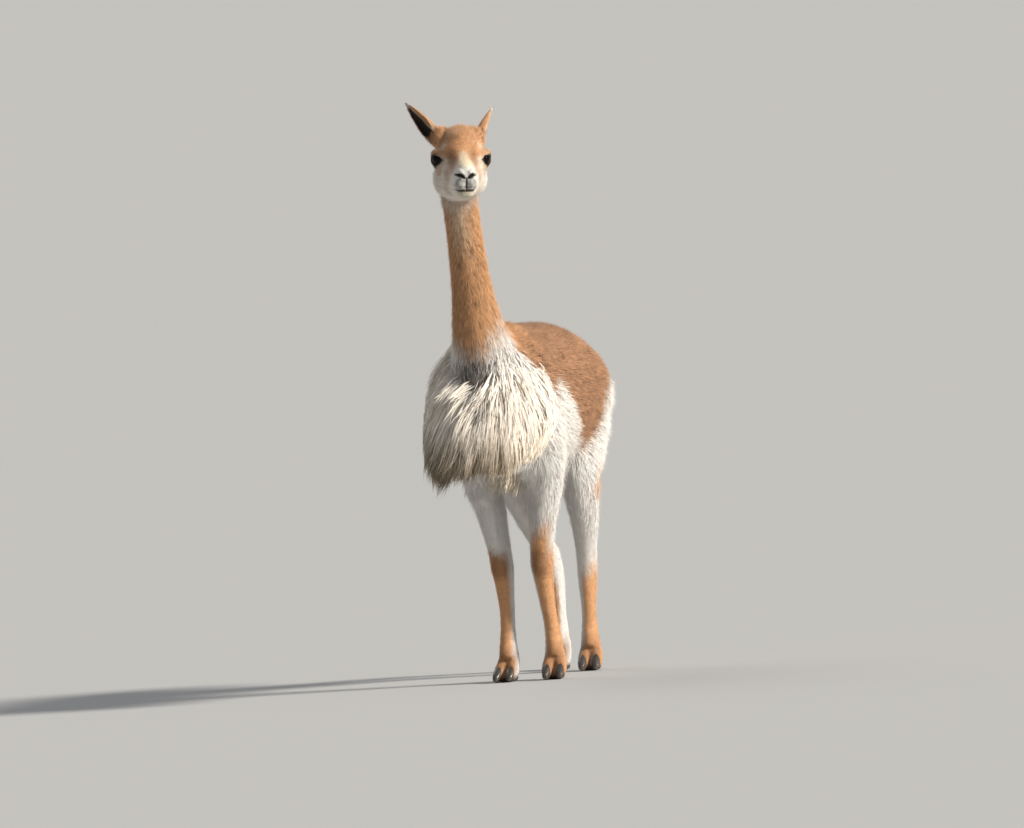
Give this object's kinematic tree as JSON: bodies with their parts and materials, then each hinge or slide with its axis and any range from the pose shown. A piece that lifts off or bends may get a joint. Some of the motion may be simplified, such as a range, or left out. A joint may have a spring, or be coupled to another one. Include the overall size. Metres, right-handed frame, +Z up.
{
  "type": "vicuna model",
  "caption": "Life-size still model of a standing vicuna with a long neck, a raised head, long white chest hair, slender legs and two-toed feet.",
  "frame": {"origin": "on the floor, under the middle of the model's box", "axes": "+Z up, -Y the way the body faces, +X to the animal's left"},
  "size_m": [0.3008, 1.0462, 1.3566],
  "materials": {
    "fawn_coat": "soft short fawn fleece",
    "white_coat": "long silky white hair",
    "leg_coat": "short smooth hair, fawn in front and white behind",
    "eye": "wet dark brown",
    "nail": "worn dark horn"
  },
  "bodies": {
    "root": {"head": "fawn_coat", "neck": "fawn_coat", "torso": "fawn_coat", "tail": "fawn_coat", "ear_left": "fawn_coat", "ear_right": "fawn_coat", "chest": "white_coat", "foreleg_left": "leg_coat", "foreleg_right": "leg_coat", "hindleg_left": "leg_coat", "hindleg_right": "leg_coat", "forefoot_left": "leg_coat", "forefoot_right": "leg_coat", "hindfoot_left": "leg_coat", "hindfoot_right": "leg_coat", "eye_left": "eye", "eye_right": "eye", "forenail_left_inner": "nail", "forenail_left_outer": "nail", "forenail_right_inner": "nail", "forenail_right_outer": "nail", "hindnail_left_inner": "nail", "hindnail_left_outer": "nail", "hindnail_right_inner": "nail", "hindnail_right_outer": "nail"}
  },
  "joints": []
}
